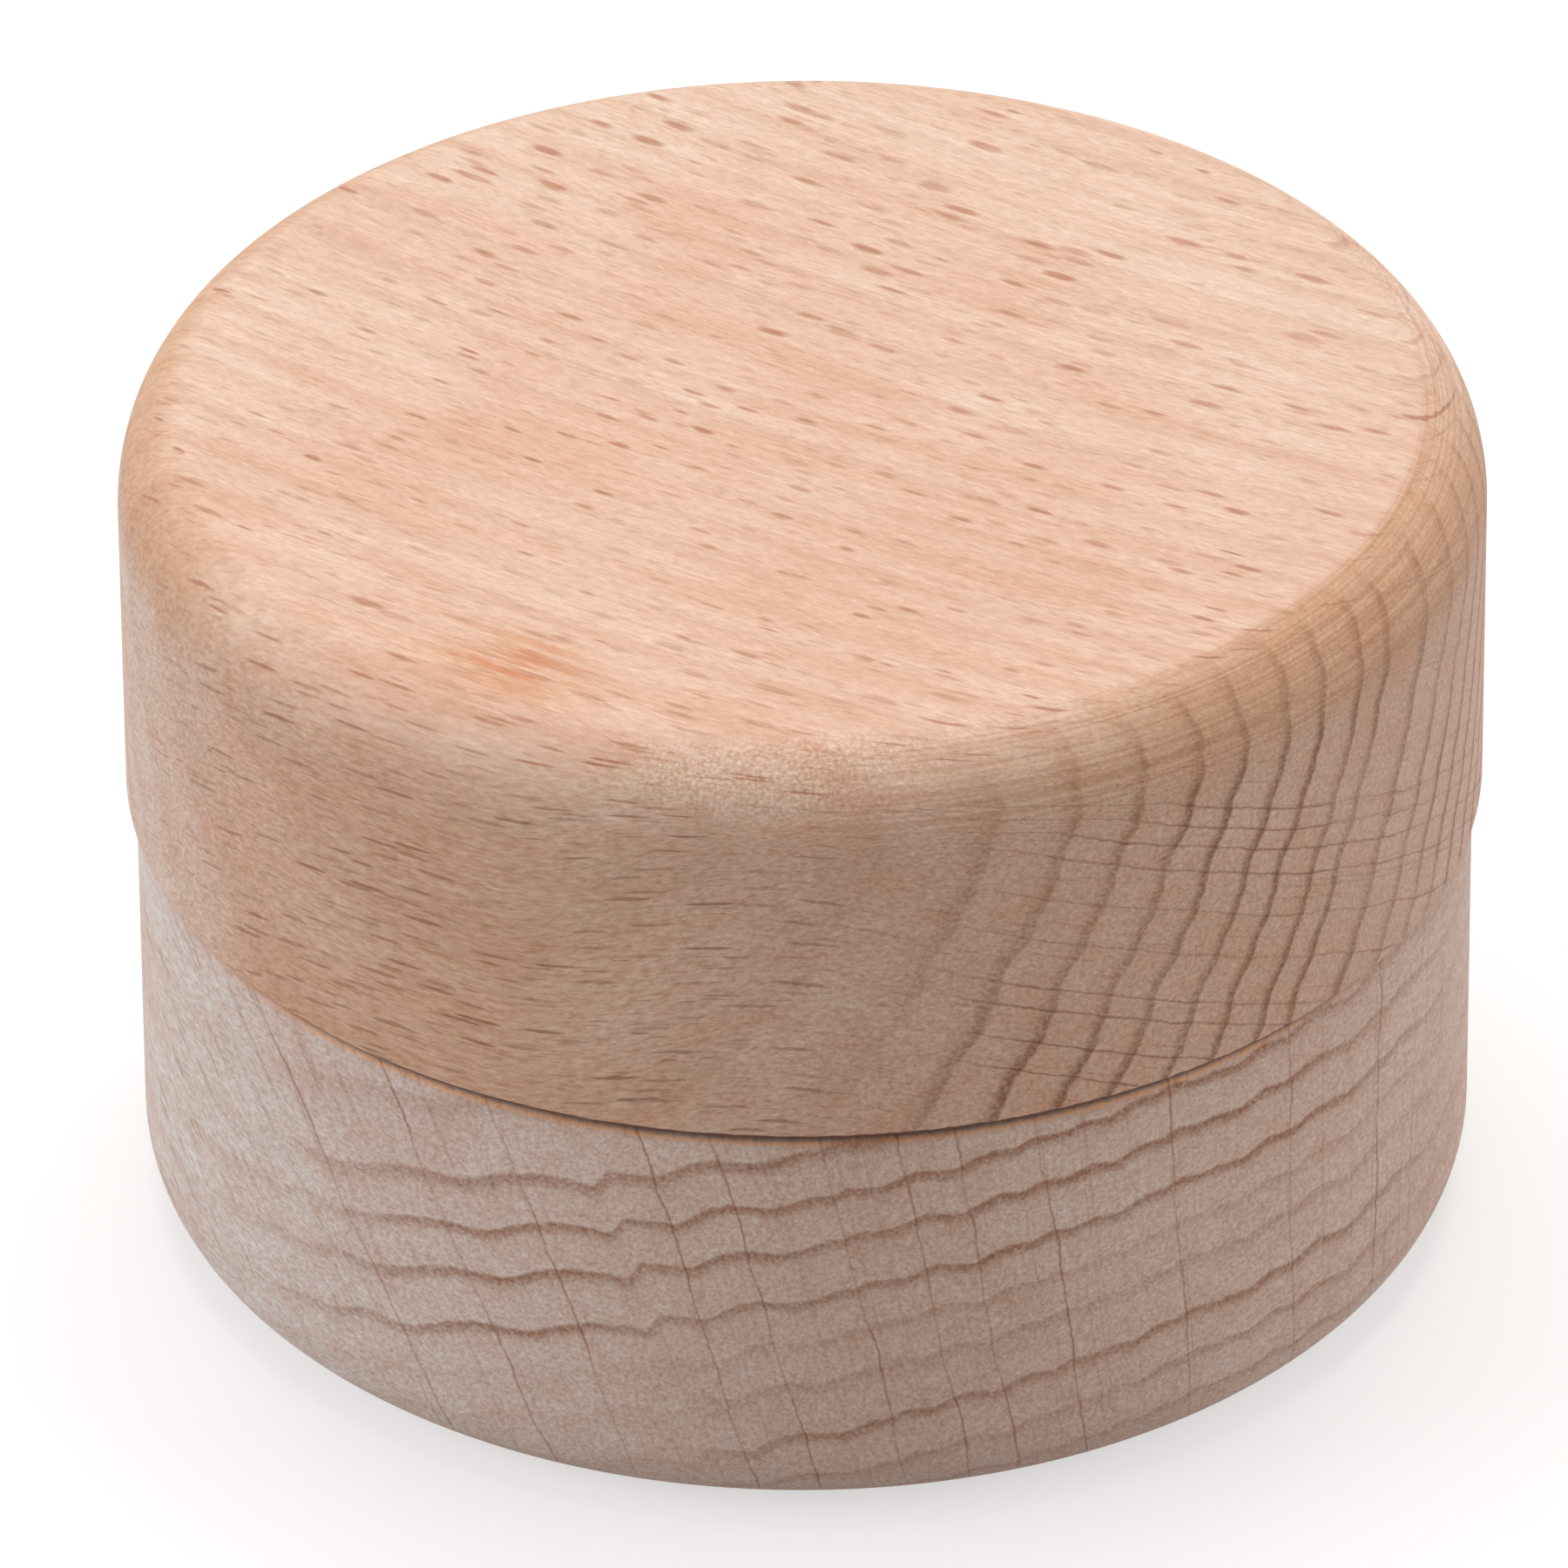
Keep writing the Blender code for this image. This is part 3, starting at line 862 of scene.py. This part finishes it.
def grey_board(name):
    """Recycled grey board, die cut: flat grey-brown, speckled with stray fibres."""
    material, add = new_material(name)
    place = place_on_object(add)
    pulp = add(
        "TexNoise", {"Vector": place, "Scale": 1 / PULP_CLUMP, "Detail": 4, "Roughness": 0.7}
    )
    specks = add("TexVoronoi", {"Vector": place, "Scale": 1 / SPECK_SPREAD}, out="Distance")
    speck = add("MapRange", {0: specks, **SPECK_EDGE})
    colour = add("Mix", {0: pulp, 6: linear(BOARD_GREY), 7: linear(BOARD_SHADE)}, **COLOURS)
    colour = add("Mix", {0: speck, 6: colour, 7: linear(SPECK_BROWN)}, **COLOURS)
    bump = add("Bump", {"Height": pulp, "Strength": 0.3, "Distance": 0.00005})
    surface = add("BsdfPrincipled", {"Base Color": colour, "Roughness": 0.88, "Normal": bump})
    add("OutputMaterial", {"Surface": surface})
    return material


def deselect():
    """Leaves edit mode and deselects everything."""
    if bpy.context.object and bpy.context.object.mode != "OBJECT":
        bpy.ops.object.mode_set(mode="OBJECT")
    bpy.ops.object.select_all(action="DESELECT")


def arc(centre, width, height, start, end, pieces):
    """Points of an elliptic quarter in a section, from one direction to another."""
    angles = [math.radians(start + (end - start) * step / pieces) for step in range(pieces + 1)]
    return [(centre[0] + width * math.cos(a), centre[1] + height * math.sin(a)) for a in angles]


def small_round(centre, radius, start, end):
    """Points of a small quarter round in a section."""
    return arc(centre, radius, radius, start, end, SMALL_ROUND_PIECES)


def turned(name, section):
    """A section of (radius, height) points, drawn by extruding one point, spun into a solid."""
    deselect()
    radius, height = section[0]
    bpy.ops.mesh.primitive_plane_add(size=POINT_SIZE, location=(radius, 0, height))
    piece = bpy.context.object
    piece.name = piece.data.name = name
    bpy.ops.object.mode_set(mode="EDIT")
    bpy.ops.mesh.select_mode(type="VERT")
    bpy.ops.mesh.merge(type="CENTER")
    for (radius, height), (next_radius, next_height) in itertools.pairwise(section):
        step = (next_radius - radius, 0, next_height - height)
        bpy.ops.mesh.extrude_region_move(TRANSFORM_OT_translate={"value": step})
    bpy.ops.mesh.select_all(action="SELECT")
    bpy.ops.mesh.spin(steps=LATHE_STEPS, angle=math.tau, center=(0, 0, 0), axis=(0, 0, 1))
    bpy.ops.mesh.select_all(action="SELECT")
    bpy.ops.mesh.remove_doubles(threshold=WELD_DISTANCE)
    bpy.ops.mesh.normals_make_consistent(inside=False)
    bpy.ops.object.mode_set(mode="OBJECT")
    bpy.ops.object.transform_apply(location=True, rotation=True, scale=True)
    bpy.ops.object.shade_smooth_by_angle(angle=CRISP_ANGLE)
    return piece


def base_section(low, high):
    """From the bowl's floor up over the spigot, down to the shoulder and the rounded foot."""
    radius, shoulder = high.x, high.z - SPIGOT_HEIGHT
    spigot_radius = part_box("lid")[1].x - LID_WALL - SPIGOT_CLEARANCE
    bowl_radius = spigot_radius - SPIGOT_WALL
    floor = low.z + BASE_FLOOR
    rim = high.z - SPIGOT_EDGE_ROUND
    return [
        (0, floor),
        *small_round((bowl_radius - BOWL_FILLET, floor + BOWL_FILLET), BOWL_FILLET, DOWN, OUT),
        *small_round((bowl_radius + SPIGOT_EDGE_ROUND, rim), SPIGOT_EDGE_ROUND, IN, UP),
        *small_round((spigot_radius - SPIGOT_EDGE_ROUND, rim), SPIGOT_EDGE_ROUND, UP, OUT),
        (spigot_radius, shoulder),
        *small_round(
            (radius - SEAM_EDGE_ROUND, shoulder - SEAM_EDGE_ROUND), SEAM_EDGE_ROUND, UP, OUT
        ),
        *arc((radius - FOOT_ROUNDOVER, low.z + FOOT_ROUNDOVER), FOOT_ROUNDOVER, FOOT_ROUNDOVER,
             OUT, DOWN, ROUNDOVER_PIECES),
        (0, low.z),
    ]


def lid_section(low, high):
    """From the middle of the top over the rounded edge, down to the seam and into the recess."""
    radius, recess_radius = high.x, high.x - LID_WALL
    ceiling = high.z - LID_TOP_THICKNESS
    return [
        (0, high.z),
        *arc((radius - LID_ROUNDOVER_WIDTH, high.z - LID_ROUNDOVER_DROP), LID_ROUNDOVER_WIDTH,
             LID_ROUNDOVER_DROP, UP, OUT, ROUNDOVER_PIECES),
        *small_round(
            (radius - SEAM_EDGE_ROUND, low.z + SEAM_EDGE_ROUND), SEAM_EDGE_ROUND, OUT, DOWN
        ),
        (recess_radius + MOUTH_CHAMFER, low.z),
        (recess_radius, low.z + MOUTH_CHAMFER),
        *small_round(
            (recess_radius - RECESS_FILLET, ceiling - RECESS_FILLET), RECESS_FILLET, OUT, UP
        ),
        (0, ceiling),
    ]


def make_shells():
    """The base and the lid, turned finer than the frame's, in beech cut from two boards."""
    for name, section, board in (
        ("base", base_section, BASE_BOARD),
        ("lid", lid_section, LID_BOARD),
    ):
        shell = turned(f"turned_{name}", section(*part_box(name)))
        shell.data.materials.append(beech(f"sanded_beech_{name}", board))
        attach(shell, name)
        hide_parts(name)


def swell(piece, hold_below, limits):
    """Blows the cloth out a little over its foam. It is held below a height, and no point moves
    further than the swell or past the limits that its place gives.
    """
    remesh = piece.modifiers.new("Cloth grid", "REMESH")
    remesh.mode = "VOXEL"
    remesh.voxel_size = CLOTH_VOXEL * BENCH_SCALE
    bpy.ops.object.modifier_apply(modifier=remesh.name)
    start = [vert.co.copy() for vert in piece.data.vertices]
    held = piece.vertex_groups.new(name="held")
    held.add([i for i, co in enumerate(start) if co.z < hold_below], 1, "REPLACE")
    cloth = piece.modifiers.new("Cloth", "CLOTH")
    cloth.settings.vertex_group_mass = held.name
    cloth.settings.use_pressure = True
    cloth.settings.uniform_pressure_force = CLOTH_PRESSURE
    cloth.settings.effector_weights.gravity = 0
    for step in range(1, CLOTH_FRAMES + 1):
        bpy.context.scene.frame_set(step)
    bpy.ops.object.modifier_apply(modifier=cloth.name)
    bpy.context.scene.frame_set(1)
    for vert, was in zip(piece.data.vertices, start):
        moved = vert.co - was
        if moved.length > CLOTH_SWELL * BENCH_SCALE:
            moved.length = CLOTH_SWELL * BENCH_SCALE
        vert.co = limits(was + moved)


def cushion_blank(name, radius, height, slit, inward):
    """A cylinder cut at the slit, its top, bottom and upright corners rounded, at bench scale."""
    deselect()
    bpy.ops.mesh.primitive_cylinder_add(
        vertices=PAD_SIDES, radius=radius, depth=height, location=(0, 0, height / 2)
    )
    pad = bpy.context.object
    pad.name = pad.data.name = name
    bpy.ops.object.transform_apply(location=True, rotation=True, scale=True)
    bpy.ops.object.mode_set(mode="EDIT")
    bpy.ops.mesh.select_all(action="SELECT")
    bpy.ops.mesh.bisect(
        plane_co=(0, slit, 0), plane_no=(0, inward, 0), use_fill=True, clear_outer=True
    )
    near = POINT_SIZE * BENCH_SCALE

    def lies_at(level):
        return lambda edge: all(abs(vert.co.z - level) < near for vert in edge.verts)

    def is_corner(edge):
        first, second = (vert.co for vert in edge.verts)
        on_slit = abs(first.y - slit) < near and abs(second.y - slit) < near
        return on_slit and abs(first.x - second.x) < near and abs(first.x) > radius / 2

    for wanted, offset, segments in (
        (lies_at(height), PAD_TOP_ROUND, PAD_TOP_PIECES),
        (lies_at(0), PAD_BOTTOM_ROUND, PAD_BOTTOM_PIECES),
        (is_corner, PAD_CORNER_ROUND, PAD_CORNER_PIECES),
    ):
        mesh = bmesh.from_edit_mesh(pad.data)
        bpy.ops.mesh.select_mode(type="EDGE")
        bpy.ops.mesh.select_all(action="DESELECT")
        for edge in mesh.edges:
            edge.select_set(wanted(edge) and edge.calc_face_angle(0) > CRISP_ANGLE)
        bmesh.update_edit_mesh(pad.data)
        bpy.ops.mesh.bevel(offset=offset * BENCH_SCALE, segments=segments, affect="EDGES")
    bpy.ops.object.mode_set(mode="OBJECT")
    return pad


def make_cushion_half(side, cloth):
    """One half of the ring cushion: foam wrapped in velvet, round against the bowl's wall, with a
    rolled lip along the slit that a ring stands in.
    """
    low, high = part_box(f"{side}_velvet")
    slit_y, inward = (high.y, 1) if side == "front" else (low.y, -1)
    radius = high.x * BENCH_SCALE
    top = (high.z - low.z - PAD_CROWN) * BENCH_SCALE
    pad = cushion_blank(f"{side}_cushion", radius, top, slit_y * BENCH_SCALE, inward)
    wall = (high.x + PAD_WALL_CLEARANCE / 2) * BENCH_SCALE
    lip = PAD_SLIT_CLEARANCE * BENCH_SCALE

    def limits(point):
        flat = math.hypot(point.x, point.y)
        if flat > wall:
            point.x, point.y = point.x * wall / flat, point.y * wall / flat
        point.y = min(point.y, -lip) if side == "front" else max(point.y, lip)
        point.z = max(point.z, 0)
        return point

    bpy.context.view_layer.objects.active = pad
    swell(pad, PAD_BOTTOM_ROUND * BENCH_SCALE, limits)
    for vert in pad.data.vertices:
        lifted = min(max((vert.co.z / top - PAD_CROWN_START) / (1 - PAD_CROWN_START), 0), 1)
        reach = math.hypot(vert.co.x, vert.co.y) / radius
        vert.co.z += lifted * PAD_CROWN * BENCH_SCALE * max(1 - reach**2, 0)
    pad.data.transform(Matrix.Diagonal((*[1 / BENCH_SCALE] * 3, 1)))
    pad.data.transform(Matrix.Translation((0, 0, low.z)))
    smoother = pad.modifiers.new("Smoother", "SUBSURF")
    smoother.levels = smoother.render_levels = 1
    bpy.ops.object.modifier_apply(modifier=smoother.name)
    bpy.ops.object.shade_smooth()
    pad.data.materials.append(cloth)
    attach(pad, "base")
    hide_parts(f"{side}_velvet", f"{side}_foam")


def make_lining(cloth):
    """Velvet drawn over the lid's card and turned up round its edge, open above."""
    low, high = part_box("lining_velvet")
    radius, inside = high.x, high.x - LINING_THICKNESS
    rings = [(inside * ring / LINING_RINGS, low.z) for ring in range(LINING_RINGS)]
    ceiling = low.z + LINING_THICKNESS
    section = [
        *[(place, ceiling) for place, _ in rings],
        (inside, ceiling),
        (inside, high.z),
        (radius, high.z),
        *small_round(
            (radius - LINING_EDGE_ROUND, low.z + LINING_EDGE_ROUND), LINING_EDGE_ROUND, OUT, DOWN
        ),
        *rings[::-1],
    ]
    lining = turned("velvet_lining", section)
    for vert in lining.data.vertices:
        if math.hypot(vert.co.x, vert.co.y) < inside:
            ripple = noise.noise(vert.co / LINING_RIPPLE_SIZE)
            vert.co.z += LINING_RIPPLE * ripple
    lining.data.materials.append(cloth)
    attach(lining, "lid")
    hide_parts("lining_velvet")


def dress_cards():
    """The frame's two cards have the right shape, and only take the look of grey board."""
    board = grey_board("recycled_grey_board")
    for node in ("cushion_card", "lining_card"):
        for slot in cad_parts[node].material_slots:
            slot.material = board


def where_seen(add):
    """1 where the camera, a reflection or glass sees the surface, and 0 for the light that it gives."""
    light_path = add("LightPath").node
    seen = light_path.outputs["Is Camera Ray"]
    for ray in ("Is Glossy Ray", "Is Transmission Ray"):
        seen = add("Math", {0: seen, 1: light_path.outputs[ray]}, operation="MAXIMUM")
    return seen


def make_floor():
    """A plain floor that keeps the jar's shadow. It is grey as light on the jar, so that the sides
    stay darker than the top, and it is lifted to white where it is seen.
    """
    deselect()
    bpy.ops.mesh.primitive_plane_add(size=FLOOR_SIZE, location=(0, 0, -FLOOR_CLEARANCE))
    floor = bpy.context.object
    floor.name = "floor"
    material, add = new_material("pale_floor")
    pale = add("BsdfDiffuse", {"Color": linear(FLOOR_GREY)})
    lift = add("Math", {0: where_seen(add), 1: FLOOR_LIFT}, operation="MULTIPLY")
    lift = add("Emission", {"Color": linear(WHITE), "Strength": lift})
    add("OutputMaterial", {"Surface": add("AddShader", {0: pale, 1: lift})})
    floor.data.materials.append(material)


def make_world():
    """Plain white surroundings: full white where they are seen, dimmer as light on the jar."""
    world = bpy.data.worlds.new("white_room")
    bpy.context.scene.world = world
    world.use_nodes = True
    world.node_tree.nodes.clear()
    add = functools.partial(add_node, world.node_tree)
    strength = add("MapRange", {0: where_seen(add), 3: WORLD_LIGHT, 4: 1})
    room = add("Background", {"Color": linear(WHITE), "Strength": strength})
    add("OutputWorld", {"Surface": room})


def make_lamps():
    """Soft square lamps, all turned towards the middle of the jar."""
    middle = (cad_low + cad_high) / 2
    for name, lamp in LAMPS.items():
        data = bpy.data.lights.new(name, "AREA")
        data.shape = "SQUARE"
        data.size = lamp["size"]
        data.energy = lamp["watts"]
        data.color = linear(lamp["colour"])[:3]
        obj = bpy.data.objects.new(name, data)
        obj.location = lamp["place"]
        towards = middle - obj.location
        obj.rotation_euler = towards.to_track_quat("-Z", "Y").to_euler()
        bpy.context.scene.collection.objects.link(obj)


def make_camera():
    """A long lens from above the front, rolled a little as the photograph is."""
    data = bpy.data.cameras.new("camera")
    data.sensor_width = CAMERA_SENSOR
    data.lens = CAMERA_LENS
    data.shift_x = CAMERA_SHIFT
    camera = bpy.data.objects.new("camera", data)
    target = Vector((0, 0, CAMERA_TARGET_HEIGHT))
    back = Vector((0, -math.cos(CAMERA_ELEVATION), math.sin(CAMERA_ELEVATION)))
    camera.location = target + CAMERA_DISTANCE * back
    level = back.to_track_quat("Z", "Y")
    camera.rotation_euler = (level @ Quaternion((0, 0, 1), -CAMERA_ROLL)).to_euler()
    bpy.context.scene.collection.objects.link(camera)
    bpy.context.scene.camera = camera


def main():
    """Makes the stage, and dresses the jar."""
    bpy.context.scene.view_settings.view_transform = "Standard"
    make_camera()
    make_world()
    make_lamps()
    make_floor()
    make_shells()
    ivory = velvet("ivory_cotton_velvet", IVORY, IVORY_SHADE)
    make_cushion_half("front", ivory)
    make_cushion_half("rear", ivory)
    make_lining(ivory)
    dress_cards()


main()
